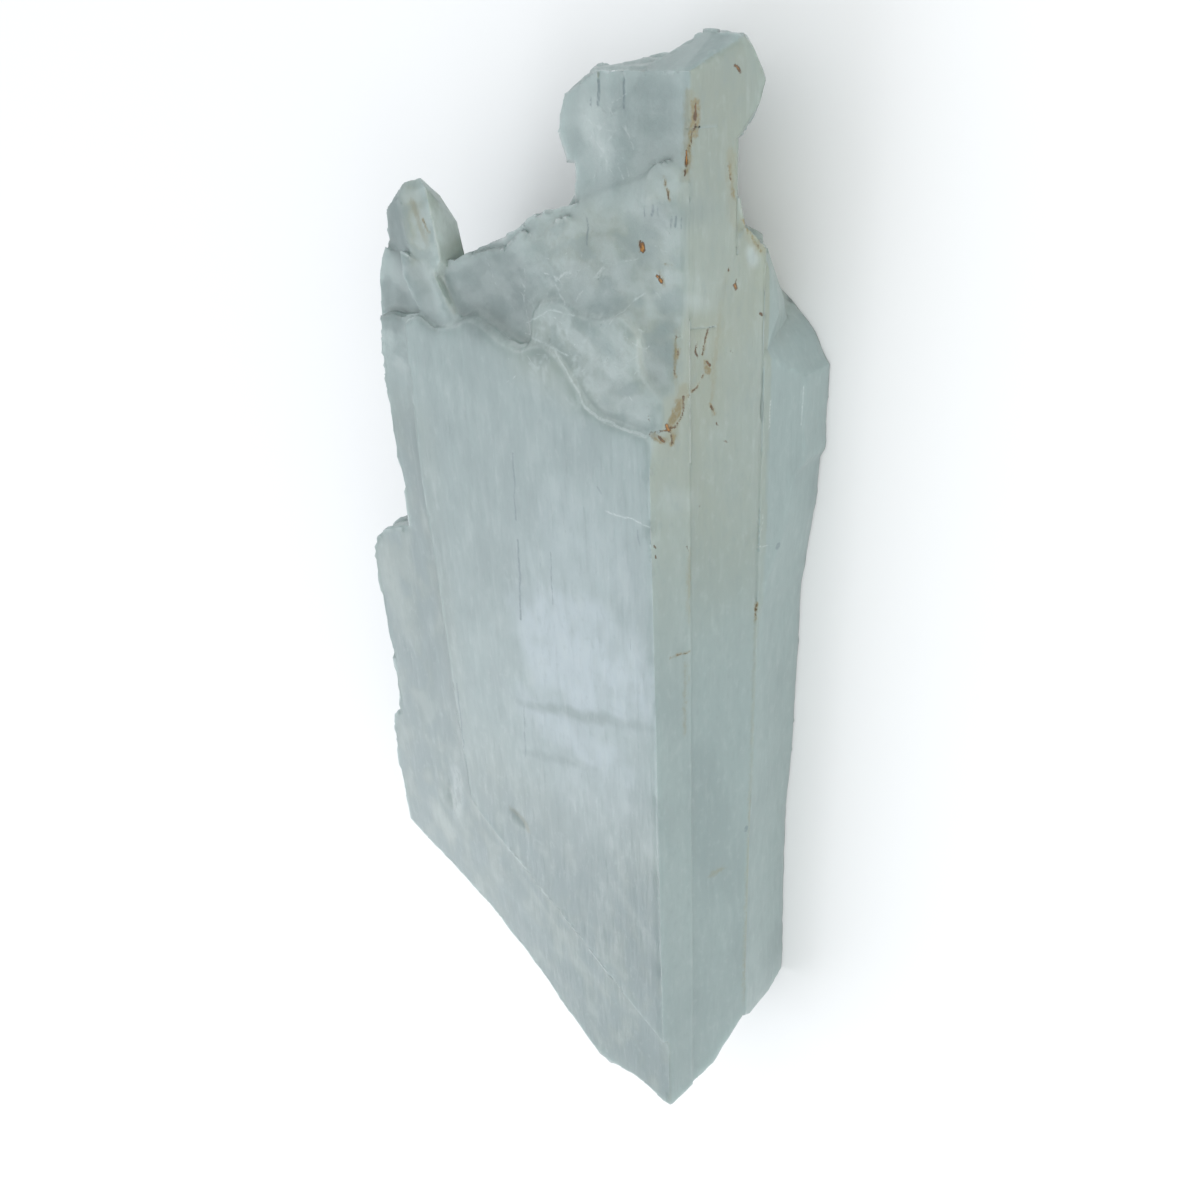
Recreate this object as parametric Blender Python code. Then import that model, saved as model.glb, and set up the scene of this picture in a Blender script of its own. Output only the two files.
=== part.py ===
"""Selenite slab: one tabular gypsum crystal, about 0.30 m long, lying on its back cleavage face.

Gypsum splits into sheets parallel to its broad face, so the slab is drawn as a stack of such
sheets.  Each sheet is a flat outline with a thickness.  The right-hand side is then trimmed by the
two prism faces, the lower end by its end faces, and the broken top carries terraces, a tower and
a nub.  Everything overlaps and is united into a single solid.

Drawing frame, in millimetres: x across the broad face, measured from the front right-hand arris;
y along the crystal, tip negative and tower positive; z up from the back face.  The finished solid
is moved so that its box stands centred on the world origin.
"""
import math
import random

import bmesh
import bpy
from mathutils import Vector

MM = 0.001                  # the drawing is in millimetres; the finished mesh is scaled once

# Driving dimensions, mm
THICKNESS = 44.0            # back cleavage face to front cleavage face
PRISM_ANGLE = 55.75         # between the normals of the broad face and of a prism face, degrees
WAIST = 22.0                # height of the edge where the two prism faces meet
STRIP_EDGE = 36.0           # height of the fine step that parts the front prism face in two
STRIP_STEP = 0.5            # how far the upper strip of that face stands proud
BASE_TOP = 42.6             # height of the outer margins, below the raised front panel
TERRACE_TOPS = (42.1, 39.7, 37.9)    # the three broken terraces under the tower
TOWER_FRONT = 35.9          # the tower's blue front face
REAR_BLADE_TOP = 21.9       # the narrow blade grown behind the right-hand side
RECESS = 0.45               # how far the tower's front is sunk below its top edge
REACH = 400.0               # longer than anything in the drawing, for trimming blocks
OVERLAP = 1.4               # how far each sheet is sunk into the next
FLAT = math.radians(0.4)    # faces that meet flatter than this are one face
WELD = 0.01                 # points closer than this are one point, mm
SLIVER = 0.03               # edges shorter than this are closed up in the finished solid, mm

PRISM_SLOPE = math.tan(math.radians(90.0 - PRISM_ANGLE))
WAIST_X = (THICKNESS - WAIST) * PRISM_SLOPE

# Outlines, mm: the broken top of the front panel, from the arris to the left-hand margin
PANEL_BREAK = [
    (0, 69), (-9, 70), (-15, 71), (-18, 72.5), (-22, 78), (-26, 83), (-30, 85), (-34, 84.5),
    (-38, 82), (-44, 84), (-49, 86.5), (-52, 88), (-55, 88), (-58, 85), (-66, 84), (-71, 86.5),
]
# the narrow strip of the margin sheet that runs up to the nub between two broken windows
STRIP_BREAK = [(-58, 86), (-60, 88), (-63, 93), (-65.5, 98), (-76, 101), (-76.5, 95), (-73.5, 90)]
# the panel's straight left-hand margin and the growth line across its lower corner
PANEL_FOOT = [(-76.5, 84), (-77.5, 40), (-76, -10), (-75, -69), (-66, -76), (-47, -91), (-30, -104)]
# the slab's own left-hand edge, from the broken top down past the side flake to the lower corner
LEFT_EDGE = [
    (-87, 83), (-88, 74), (-88.6, 64), (-89, 52), (-88.2, 43), (-87.3, 33), (-87.4, 23.8),
    (-90.5, 22.7), (-94, 21.6), (-99, 19.6), (-102.6, 16.5), (-104.6, 12.5), (-106, 7),
    (-105.6, 0), (-105.2, -12), (-104.6, -28), (-104.8, -42.5), (-105.9, -48), (-108.6, -50.2),
    (-110.1, -56.6), (-110.8, -72), (-110.8, -88),
]
# the oblique lower edge, down to the tip
LOWER_EDGE = [
    (-111.2, -97), (-104, -101), (-97, -104), (-88, -108.5), (-80, -113), (-72, -117.5),
    (-66, -123), (-58.5, -128), (-53, -133.5), (-47, -139.5), (-42, -145.5), (-36, -151),
    (-30, -157), (-27, -158.5), (-20.5, -157), (-15, -155.8), (-10, -155.8), (-6, -157), (-2, -158.5),
]
# the boundaries between the terraces, from right to left
FIRST_TERRACE_EDGE = [
    (1, 78.5), (-3, 81), (-4.5, 86), (-3.5, 90.5), (-9, 95), (-14, 92.5), (-21, 92.5),
    (-26, 95.5), (-31, 95), (-35, 91), (-36, 80),
]
SECOND_TERRACE_EDGE = [
    (2, 92.5), (-1.5, 96), (-5, 101), (-6, 106), (-12, 110), (-17, 109), (-22, 113),
    (-29, 111), (-33, 107), (-38, 108.5), (-44, 104.5), (-52, 102.5), (-60, 100), (-69, 98),
    (-79, 99.5), (-84.5, 101), (-86, 98.5), (-88.2, 93.5), (-88.8, 89.5), (-89.4, 85.5), (-89, 76),
]
TOP_EDGE = [
    (7.5, 119), (5, 122), (1, 123), (-4, 122), (-9, 120.5), (-16, 119), (-20, 117),
    (-24, 114.5), (-32, 113), (-37, 110.5), (-41, 108), (-46, 106), (-53, 103), (-58, 100.5),
    (-70, 98.5), (-82, 97.5),
]
# the top of the sheets behind the terraces, which stops short on the right below the tower's waist
DEEP_TOP = [
    (12, 107.2), (9.5, 108.6), (5, 111), (-4, 113), (-16, 113), (-24, 112.5), (-32, 111.5), (-41, 107),
    (-53, 102), (-70, 97.5), (-83, 96),
]
# the narrow rear blade, from its upper end past the bulge and down to its foot
REAR_BLADE = [
    (-20, 97), (-2, 95), (5.4, 93), (9.4, 90), (14, 85), (15.4, 60), (15.6, 30), (15.2, 13),
    (15.4, 0), (15.2, -13), (15.2, -26), (15.0, -36), (14.5, -47), (14.1, -54), (14.0, -63), (14.1, -75),
    (14.4, -88), (14.8, -103), (15.3, -116), (15.2, -124), (14.5, -129.5), (10, -131.5), (2, -130),
    (-20, -122),
]
BULGE = [
    (0, 94), (5.4, 93.1), (9.4, 90.3), (13.8, 86.2), (15.6, 84), (17.8, 80), (18.7, 78.4), (19.8, 77),
    (19.7, 69), (19.6, 63), (20, 58), (19.8, 56.3), (18.7, 54), (18.3, 45), (17.4, 36.5), (16.2, 27),
    (15, 14), (0, 10),
]

# The sheets behind the front one step inwards where they are broken
SHEETS = [
    # (bottom, top, left set-in, lower set-in, upper set-in), mm
    (27.4, 35.2, -1.5, 3.0, 0.0),
    (20.0, 28.6, -2.5, 8.0, 1.5),
    (8.5, 21.4, 1.5, 17.0, 4.0),
    (0.0, 9.9, 6.0, 24.0, 9.0),
]


def collection(name):
    made = bpy.data.collections.new(name)
    bpy.context.scene.collection.children.link(made)
    return made


def new_object(name, mesh, home):
    made = bpy.data.objects.new(name, mesh)
    home.objects.link(made)
    return made


def evaluated_mesh(source):
    """A mesh copy of an object with its modifiers, or its curve fill, worked out."""
    bpy.context.view_layer.update()
    graph = bpy.context.evaluated_depsgraph_get()
    return bpy.data.meshes.new_from_object(source.evaluated_get(graph))


def flat_outline(name, points, half_thickness, home):
    """A closed 2D outline, filled on both sides and extruded, as a welded mesh object."""
    curve = bpy.data.curves.new(name + "_outline", "CURVE")
    curve.dimensions = "2D"
    curve.fill_mode = "BOTH"
    curve.extrude = half_thickness
    spline = curve.splines.new("POLY")
    spline.points.add(len(points) - 1)
    for place, (x, y) in zip(spline.points, points):
        place.co = (x, y, 0.0, 1.0)
    spline.use_cyclic_u = True
    drawn = new_object(name + "_outline", curve, home)
    mesh = evaluated_mesh(drawn)
    bpy.data.objects.remove(drawn)
    bpy.data.curves.remove(curve)
    shape = bmesh.new()
    shape.from_mesh(mesh)
    bmesh.ops.remove_doubles(shape, verts=shape.verts, dist=WELD)
    bmesh.ops.dissolve_limit(shape, angle_limit=FLAT, verts=shape.verts, edges=shape.edges)
    bmesh.ops.recalc_face_normals(shape, faces=shape.faces)
    shape.to_mesh(mesh)
    shape.free()
    return new_object(name, mesh, home)


def plate(name, points, bottom, top, home):
    """A sheet parallel to the broad face: an outline in x and y between two heights."""
    kept = [point for point, last in zip(points, points[-1:] + points[:-1]) if point != last]
    made = flat_outline(name, kept, (top - bottom) / 2, home)
    for corner in made.data.vertices:
        corner.co.z += (top + bottom) / 2
    return made


def bar(name, section, start, end, home):
    """A long bar: a section in x and z, drawn from one y to another."""
    made = flat_outline(name, section, (end - start) / 2, home)
    middle = (start + end) / 2
    for corner in made.data.vertices:
        x, height, along = corner.co
        corner.co = (x, middle - along, height)
    return made


def lump(name, points, home):
    """A convex broken piece with flat facets: the hull of its corners."""
    shape = bmesh.new()
    for point in points:
        shape.verts.new(Vector(point))
    made = bmesh.ops.convex_hull(shape, input=shape.verts)
    bmesh.ops.delete(shape, geom=made["geom_interior"], context="VERTS")
    bmesh.ops.dissolve_limit(shape, angle_limit=FLAT, verts=shape.verts, edges=shape.edges)
    bmesh.ops.recalc_face_normals(shape, faces=shape.faces)
    mesh = bpy.data.meshes.new(name)
    shape.to_mesh(mesh)
    shape.free()
    return new_object(name, mesh, home)


def splintered(points, tooth, depth, seed):
    """The same line with small broken teeth: each tooth is cut square on one side, oblique on the other."""
    chance = random.Random(seed)
    line = [points[0]]
    for start, end in zip(points, points[1:]):
        start, end = Vector(start), Vector(end)
        run = end - start
        inward = Vector((-run.y, run.x)).normalized()
        count = max(1, round(run.length / tooth))
        for index in range(1, count):
            share = (index + chance.uniform(-0.3, 0.3)) / count
            line.append(tuple(start + run * share + inward * chance.uniform(-depth, depth)))
        line.append(tuple(end))
    return line


def shifted(points, dx, dy):
    return [(x + dx, y + dy) for x, y in points]


def combine(target, operation, others):
    """Work one Boolean on the target, keep the result as its mesh and drop the helpers."""
    for other in others:
        cut = target.modifiers.new(other.name, "BOOLEAN")
        cut.operation = operation
        cut.solver = "EXACT"
        cut.object = other
        result = evaluated_mesh(target)
        target.modifiers.clear()
        target.data = result
        bpy.data.objects.remove(other)
    return target


def to_margin(line, margin):
    """The line with its first and last points carried out sideways past the right-hand side."""
    return [(margin, line[0][1])] + line + [(margin, line[-1][1])]


def front_sheet(home):
    """The front margin sheet, down to the oblique lower edge, with the ledges of its broken top."""
    step = splintered(shifted(PANEL_BREAK[:-3], 0.4, 0.9), 4.0, 0.2, 14)
    strip = splintered(STRIP_BREAK, 4.0, 0.2, 15)
    corner = splintered([(-71.5, 86.5), (-86.5, 84.2)], 4.0, 0.6, 13)
    left = splintered(LEFT_EDGE, 5.0, 0.3, 11)
    lower = splintered(LOWER_EDGE, 3.5, 0.4, 12)
    outline = to_margin(step + strip + corner + left + lower, 22)
    return plate("front_sheet", outline, 34.0, BASE_TOP, home)


def front_panel(home):
    """The raised satin panel that covers most of the broad face."""
    edge = splintered(PANEL_BREAK, 3.0, 0.3, 21)
    foot = splintered(PANEL_FOOT, 9.0, 0.2, 22)
    outline = to_margin(edge + foot + [(-12, -119), (0, -128)], 23)
    return plate("front_panel", outline, BASE_TOP - OVERLAP, THICKNESS, home)


def terraces(home):
    """The three steps by which the broken top goes down to the tower's front face."""
    first, second, third = TERRACE_TOPS
    edge = splintered(FIRST_TERRACE_EDGE, 3.0, 0.35, 31)
    made = [plate("terrace_1", to_margin(edge + [(-36.5, 61)], 24), 33.2, first, home)]
    edge = splintered(SECOND_TERRACE_EDGE, 3.0, 0.4, 32)
    made.append(plate("terrace_2", to_margin(edge + [(-84, 71)], 25), 32.8, second, home))
    edge = splintered(TOP_EDGE, 3.0, 0.4, 33)
    outline = to_margin(edge + [(-86.5, 96), (-86.8, 77.5)], 26)
    made.append(plate("terrace_3", outline, 32.4, third, home))
    return made


def within(points, high, low):
    """The points of a line that lie between two places along the crystal."""
    return [point for point in points if low < point[1] < high]


def deep_sheets(home):
    """The sheets behind the front one: their broken left-hand and lower edges step inwards."""
    made = []
    for number, (bottom, top, left_in, lower_in, upper_in) in enumerate(SHEETS):
        seed = 40 + 10 * number
        lower = shifted(LOWER_EDGE, lower_in * 0.35, lower_in)
        if top < WAIST + OVERLAP:
            lower = within(lower, 0, -124 + lower_in / 4) + [(2, -126 + lower_in / 4), (13, -119)]
        lower = splintered(lower, 6.0, 1.0, seed + 1)
        crest = splintered(shifted(DEEP_TOP, 0.0, -upper_in), 4.0, 0.7, seed + 2)
        left = within(shifted(LEFT_EDGE, left_in, 0.0), crest[-1][1] - 3.0, lower[0][1] + 4.0)
        outline = to_margin(crest + splintered(left, 6.0, 0.9, seed) + lower, 27 + number)
        made.append(plate("sheet_%d" % (number + 2), outline, bottom, top, home))
    return made


def prism_section():
    """The section of the crystal's right-hand side: front prism face, waist, rear prism face."""
    strip_x = (THICKNESS - STRIP_EDGE) * PRISM_SLOPE
    proud = STRIP_STEP / math.cos(math.radians(PRISM_ANGLE - 34.25))
    above = THICKNESS + 8.0
    return [
        (-REACH, -8.0),
        (WAIST_X - (WAIST + 8.0) * PRISM_SLOPE, -8.0),
        (WAIST_X, WAIST),
        (strip_x + 3.0 * PRISM_SLOPE - 0.15, STRIP_EDGE - 3.0),
        (strip_x - 0.2, STRIP_EDGE - 0.2),
        (strip_x + proud - 0.35, STRIP_EDGE + 0.1),
        (-0.05, THICKNESS),
        (-0.05 - (above - THICKNESS) * PRISM_SLOPE, above),
        (-REACH, above),
    ]


def tower(home):
    """The tower left standing on the deepest step: a straight neck under a wider broken head."""
    neck_section = [
        (-24.3, TOWER_FRONT), (5.5, TOWER_FRONT), (11.2, 27.6), (6.5, 20.0), (-3, 6), (-8, 3.0),
        (-20, 2.5), (-27, 12), (-26, 26),
    ]
    neck = bar("neck", neck_section, 92.0, 131.0, home)
    left_head = lump("left_head", [
        (-26.4, 123, TOWER_FRONT), (-28.0, 129, TOWER_FRONT), (-27.4, 132.4, TOWER_FRONT),
        (-25.9, 136, TOWER_FRONT), (-17.5, 140.9, TOWER_FRONT), (0, 141.0, TOWER_FRONT),
        (0, 124, TOWER_FRONT), (-30.2, 136.6, 28.5), (-23.2, 141.2, 27.5), (-16, 142.4, 26),
        (-7, 143.4, 26), (0, 143.2, 26), (-24, 139, 12), (-8, 140.5, 8), (-20, 128, 5), (-31, 130, 18),
        (0, 128, 8), (0, 140.5, 10),
    ], home)
    right_head = lump("right_head", [
        (-6, 140.9, TOWER_FRONT - 0.1), (5.4, 141.1, TOWER_FRONT), (5.4, 127, TOWER_FRONT),
        (-4, 127, TOWER_FRONT - 0.1), (-5.5, 143.3, 26.5), (-1, 145.2, 26), (1.8, 147.2, 25),
        (10.9, 146.7, 26), (12.6, 144.2, 24.8), (13.2, 141.3, 24), (14.4, 138.6, 23), (13.8, 135, 23.8),
        (12.7, 132.5, 25.3), (11.2, 128.3, 27.7), (4.5, 146, 15), (8.8, 139.5, 15), (3, 130, 9),
        (-4, 142, 10), (-5, 128, 8),
    ], home)
    foot = lump("tower_foot", [
        (-28, 112, 34.5), (-26, 116.5, 34.5), (-20, 119, 34.5), (-20, 104, 34.5), (-34, 106, 34.5),
        (-29, 113, 14), (-20, 116, 14), (-20, 104, 14), (-36, 106, 14),
    ], home)
    tooth = lump("waist_tooth", [
        (8, 118.2, 29.5), (11.5, 117.8, 27.0), (11.5, 113.6, 27.0), (12.3, 111.6, 25.9), (6, 106, 31),
        (3, 112, 33.0), (0, 114, 14), (5, 114, 20), (8, 106, 20),
    ], home)
    knob = lump("waist_knob", [
        (12.4, 111.6, 25.8), (14.1, 108.7, 23.3), (15, 107.0, 21.9), (15, 98, 21.8), (5, 96, 33.0),
        (4, 110, 30.0), (3, 110, 14), (4, 104, 10), (8, 101, 12), (2, 96, 14),
    ], home)
    return [neck, left_head, right_head, foot, tooth, knob]


def crest_block(home):
    """The small upright crystal set on the terrace edge beside the tower's arris."""
    return lump("crest_block", [
        (-5.0, 119.0, 38.6), (-3.4, 123.6, 38.8), (-0.6, 125.2, 38.2), (2.6, 124.8, 38.0),
        (4.6, 120.0, 37.6), (3.6, 116.0, 38.4), (-1.6, 116.5, 39.0), (-4.6, 123.0, 34.0), (3.6, 125.0, 34.0),
        (6.4, 117.0, 34.0), (0, 112.0, 34.0), (-6, 116, 34.0),
    ], home)


def nub(home):
    """The short leaning prism at the upper left-hand corner, with long facets in front."""
    corners = [
        # front facet
        (-74.6, 113.6, 42.0), (-73.0, 102.0, 42.0), (-66.2, 96.0, 42.6), (-62.4, 100.5, 42.0),
        (-63.4, 108.0, 42.0), (-65.0, 116.6, 41.6), (-67.6, 118.4, 40.6), (-73.6, 117.0, 40.4),
        # left facet and its outer edge
        (-84.6, 109.4, 37.8), (-85.0, 104.6, 37.8), (-84.2, 102.0, 38.2), (-78.6, 113.0, 39.6),
        # right facet's far edge
        (-68.2, 113.4, 34.4), (-63.2, 107.6, 34.4), (-61.8, 100.6, 34.4), (-62.8, 92.0, 34.2),
        # back
        (-78, 108, 24), (-75.4, 99, 22.6), (-84, 103, 24), (-81, 91, 24), (-74, 90, 24),
    ]
    corner_chip = lump("nub_corner", [
        (-86.5, 92, 39.0), (-85.6, 98.5, 38.9), (-83.6, 103.4, 38.0), (-79.5, 101, 39.2), (-78, 92, 39.2),
        (-87, 95, 27.0), (-84.5, 101.5, 27.0), (-79, 100, 27.0), (-79, 92, 27.0),
    ], home)
    return [lump("nub", corners, home), corner_chip]


def rear_growth(home):
    """The blade behind the right-hand side, with the slanted bulge near its upper end."""
    blade = plate("rear_blade", splintered(REAR_BLADE, 8.0, 0.12, 61), 0.0, REAR_BLADE_TOP, home)
    bulge = plate("bulge", splintered(BULGE, 5.0, 0.15, 62), 0.0, REAR_BLADE_TOP, home)
    slope = half_space("bulge_slope", (15.3, 60.0, REAR_BLADE_TOP), (0.93, 0.0, 0.36), home)
    combine(bulge, "DIFFERENCE", [slope])
    shoulder = lump("shoulder", [
        (0, 92.4, 3), (8.2, 91.0, 5), (11, 87, 5), (0, 84, 3),
        (6.6, 105.2, 10), (8.2, 103.1, 10), (9.6, 99.4, 10), (11.0, 95.9, 10), (12.8, 93.2, 10),
        (12.0, 104.6, 16), (13.4, 101.1, 16), (14.5, 97.6, 16), (15.0, 92.0, 16), (13.2, 106.0, 21),
        (14.7, 103.5, 21.3), (15.0, 98, 21.7), (15.0, 85, 20.9), (0, 106, 14), (0, 88, 21),
    ], home)
    return [blade, bulge, shoulder]


def half_space(name, point, outward, home):
    """A large block that fills the outer side of a plane, to cut a crystal face."""
    shape = bmesh.new()
    bmesh.ops.create_cube(shape, size=REACH)
    bmesh.ops.translate(shape, verts=shape.verts, vec=(0.0, 0.0, REACH / 2))
    turn = Vector(outward).to_track_quat("Z", "Y")
    bmesh.ops.rotate(shape, verts=shape.verts, cent=(0, 0, 0), matrix=turn.to_matrix())
    bmesh.ops.translate(shape, verts=shape.verts, vec=Vector(point))
    mesh = bpy.data.meshes.new(name)
    shape.to_mesh(mesh)
    shape.free()
    return new_object(name, mesh, home)


def end_faces(home):
    """The faces that trim the front sheets at the lower end."""
    return [
        half_space("growth_bevel", (-75, -69.5, THICKNESS), (-0.0365, -0.0476, 1.0), home),
        half_space("tip_front", (2, -157.2, 41.1), (0.0, -0.64, -0.768), home),
        half_space("tip_back", (8.1, -148.4, 32.1), (0.0, -0.4, -0.916), home),
    ]


def blade_ends(home):
    """The slants that round off the rear blade's foot."""
    return [
        half_space("foot_back", (15, -131.0, 9.0), (0.1, -0.80, -0.60), home),
        half_space("foot_front", (15, -131.0, 15.0), (0.1, -0.82, 0.57), home),
    ]


def pits(home):
    """Small chips out of the broad face and the recess below the tower's top edge."""
    stained_pit = lump("stained_pit", [
        (-58.4, -61.0, 45), (-54.6, -60.6, 45), (-49.6, -65.4, 45), (-48.6, -70.2, 45), (-53.6, -68.8, 45),
        (-58.0, -65.0, 45), (-55.6, -63.2, 43.5), (-52.0, -66.6, 43.4), (-51.2, -68.2, 43.6),
    ], home)
    side_chip = lump("oval_chip", [
        (-84.5, -57, 44), (-79.5, -56, 44), (-76.9, -60, 44), (-78.5, -71, 44), (-84.5, -82, 44),
        (-89, -84, 44), (-90.5, -76, 44), (-81.6, -61, 41.9), (-79.8, -66, 41.9), (-85.5, -78, 41.4),
        (-87, -74, 41.5), (-83.6, -63, 41.8),
    ], home)
    recess = plate("tower_recess", [(-16.8, 134), (-15, 133), (-10.6, 134.5), (-10.4, 150), (-17, 150)],
                   TOWER_FRONT - RECESS, 50.0, home)
    return [stained_pit, side_chip, recess]


def crystal_material():
    """Pale aqua-grey, milky and half clear."""
    made = bpy.data.materials.new("selenite")
    made.use_nodes = True
    shader = made.node_tree.nodes["Principled BSDF"]
    shader.inputs["Base Color"].default_value = (0.42, 0.52, 0.51, 1.0)
    shader.inputs["Roughness"].default_value = 0.3
    shader.inputs["Metallic"].default_value = 0.0
    shader.inputs["IOR"].default_value = 1.52
    shader.inputs["Transmission Weight"].default_value = 0.4
    made.diffuse_color = (0.42, 0.52, 0.51, 1.0)
    return made


def tidy(target):
    """Merge flat neighbours, close up slivers and shade the faces flat."""
    shape = bmesh.new()
    shape.from_mesh(target.data)
    bmesh.ops.remove_doubles(shape, verts=shape.verts, dist=SLIVER)
    bmesh.ops.dissolve_degenerate(shape, edges=shape.edges, dist=SLIVER)
    bmesh.ops.dissolve_limit(shape, angle_limit=FLAT, verts=shape.verts, edges=shape.edges)
    bmesh.ops.triangulate(shape, faces=shape.faces)
    bmesh.ops.recalc_face_normals(shape, faces=shape.faces)
    shape.to_mesh(target.data)
    shape.free()


def stand_on_origin(target):
    """Move the mesh so that its box is centred on the z axis with its back face at z = 0, in metres."""
    places = [corner.co for corner in target.data.vertices]
    low = [min(place[axis] for place in places) for axis in range(3)]
    high = [max(place[axis] for place in places) for axis in range(3)]
    offset = Vector((-(low[0] + high[0]) / 2, -(low[1] + high[1]) / 2, -low[2]))
    for corner in target.data.vertices:
        corner.co = (corner.co + offset) * MM
    return [high[axis] - low[axis] for axis in range(3)], offset


def build():
    for old in list(bpy.data.objects):
        bpy.data.objects.remove(old)
    home = collection("selenite_slab")
    tools = collection("cutters")

    front = front_sheet(tools)
    second_sheet, third_sheet, *deeper_sheets = deep_sheets(tools)
    combine(front, "UNION", [front_panel(tools)] + terraces(tools) + [second_sheet, third_sheet])
    combine(front, "DIFFERENCE", end_faces(tools))
    combine(front, "UNION", deeper_sheets)
    combine(front, "INTERSECT", [bar("prism", prism_section(), -REACH / 2, REACH / 2, tools)])
    combine(front, "UNION", tower(tools) + [crest_block(tools)] + nub(tools))
    blade, bulge, shoulder = rear_growth(tools)
    combine(blade, "DIFFERENCE", blade_ends(tools))
    combine(front, "UNION", [blade, bulge, shoulder])
    combine(front, "DIFFERENCE", pits(tools))
    tidy(front)
    size, offset = stand_on_origin(front)

    tools.objects.unlink(front)
    home.objects.link(front)
    front.name = "selenite_slab"
    front.data.name = "selenite_slab"
    front.data.materials.clear()
    front.data.materials.append(crystal_material())
    print("size mm", [round(side, 1) for side in size])
    print("offset mm", [round(part, 2) for part in offset])
    print("triangles", len(front.data.polygons))


build()
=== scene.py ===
# %% [markdown]
# # A selenite slab, dressed
#
# Selenite is the clear, cleavable kind of gypsum. This crystal group has one broad cleavage face, a
# bevelled prism side, a stepped broken top with a blocky tower and a short nub, and a thin blade
# grown on behind. The solid model already has its size and its large forms. This lesson gives it
# the small relief, the milky depth and the stains, and sets it on a pale floor under soft light.

# %% Load the frame
import math
import random
import time

import bmesh
import bpy
import numpy as np
from mathutils import Euler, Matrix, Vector, noise
from mathutils.bvhtree import BVHTree
from mathutils.kdtree import KDTree


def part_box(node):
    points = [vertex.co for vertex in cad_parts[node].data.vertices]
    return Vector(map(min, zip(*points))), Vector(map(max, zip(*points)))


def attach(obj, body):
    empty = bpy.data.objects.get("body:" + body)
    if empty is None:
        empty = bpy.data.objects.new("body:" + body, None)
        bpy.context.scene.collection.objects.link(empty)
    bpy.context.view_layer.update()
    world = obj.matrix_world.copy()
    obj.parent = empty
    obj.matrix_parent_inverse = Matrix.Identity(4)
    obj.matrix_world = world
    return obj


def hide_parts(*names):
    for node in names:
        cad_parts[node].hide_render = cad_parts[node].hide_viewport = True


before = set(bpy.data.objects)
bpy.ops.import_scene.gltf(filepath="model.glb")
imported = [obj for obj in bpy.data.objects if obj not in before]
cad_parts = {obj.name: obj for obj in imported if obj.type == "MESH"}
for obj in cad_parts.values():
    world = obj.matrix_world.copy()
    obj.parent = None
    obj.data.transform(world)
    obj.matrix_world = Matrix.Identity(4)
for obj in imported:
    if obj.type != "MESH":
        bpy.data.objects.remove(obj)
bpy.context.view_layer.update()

MM = 0.001

started = time.time()
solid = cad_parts["selenite_slab"]
solid_low, solid_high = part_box("selenite_slab")
print("solid", [round(side / MM, 1) for side in solid_high - solid_low], "mm")

# %% [markdown]
# ## One ruler for everything
#
# All places below are in millimetres, the way the crystal was drawn: x from the front arris to the
# right, y along the crystal with the tip at the low end, z up from the flat back. The frame is in
# metres about its own centre, so two reaches of the drawing tie the two together.

# %% The drawing's place in the frame
RIGHT_REACH = 20.0   # from the arris to the outermost point of the rear bulge
LEFT_REACH = 113.0   # from the arris to the outermost point of the left-hand edge
TIP_REACH = 158.5    # from the drawing's zero to the tip
THICKNESS = 44.0     # from the back to the broad front face

ORIGIN = Vector((solid_high.x / MM - RIGHT_REACH, solid_low.y / MM + TIP_REACH, 0.0))


def at(x, y, z):
    """A drawn place, in millimetres, as a point of the frame, in metres."""
    return (Vector((x, y, z)) + ORIGIN) * MM


print("drawing's zero in the frame", [round(v, 2) for v in ORIGIN], "mm")

# %% [markdown]
# ## The camera
#
# The parallel edges of a prism run to one vanishing point, and that fixes the angle it is seen
# from. The slab lies on its back here, so the camera stands over its right-hand shoulder and looks
# down.

# %% Camera
CAMERA_PLACE = (136.85, 157.77, 223.62)
CAMERA_TURN = (-31.7457, 38.954, -3.282)
LENS = 33.0
SENSOR = 36.0
NEAREST_SEEN = 0.01

camera_data = bpy.data.cameras.new("camera")
camera_data.lens = LENS
camera_data.sensor_width = SENSOR
camera_data.clip_start = NEAREST_SEEN
camera = bpy.data.objects.new("camera", camera_data)
camera.location = at(*CAMERA_PLACE)
camera.rotation_euler = Euler([math.radians(angle) for angle in CAMERA_TURN], "XYZ")
bpy.context.scene.collection.objects.link(camera)
bpy.context.scene.camera = camera
print("camera at", [round(v, 4) for v in camera.location], "m")

# %% [markdown]
# ## From a few large faces to a fine mesh
#
# The solid's faces are large, so there are no points for small relief to move. A voxel remesh
# would give points, but it would round the straight crystal edges. Slicing the faces with evenly
# spaced planes keeps every edge exactly where it is and leaves neat small cells between the edges.

# %% A copy of the solid with its flat faces whole
WELD = 1e-6    # corners this close, in metres, are one
FLAT = 0.002   # faces that turn by less than this angle are one

shape = bmesh.new()
shape.from_mesh(solid.data)
bmesh.ops.transform(shape, matrix=solid.matrix_world, verts=shape.verts)
bmesh.ops.remove_doubles(shape, verts=shape.verts, dist=WELD)
bmesh.ops.dissolve_limit(shape, angle_limit=FLAT, verts=shape.verts, edges=shape.edges)
for corner in shape.verts:
    corner.co = corner.co / MM - ORIGIN
print("flat faces", len(shape.faces), "corners", len(shape.verts))

# %% How to slice faces
NEAR = 0.002


def lowest(face, axis):
    """The face's least reach along an axis."""
    return min(corner.co[axis] for corner in face.verts)


def highest(face, axis):
    """The face's greatest reach along an axis."""
    return max(corner.co[axis] for corner in face.verts)


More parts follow.
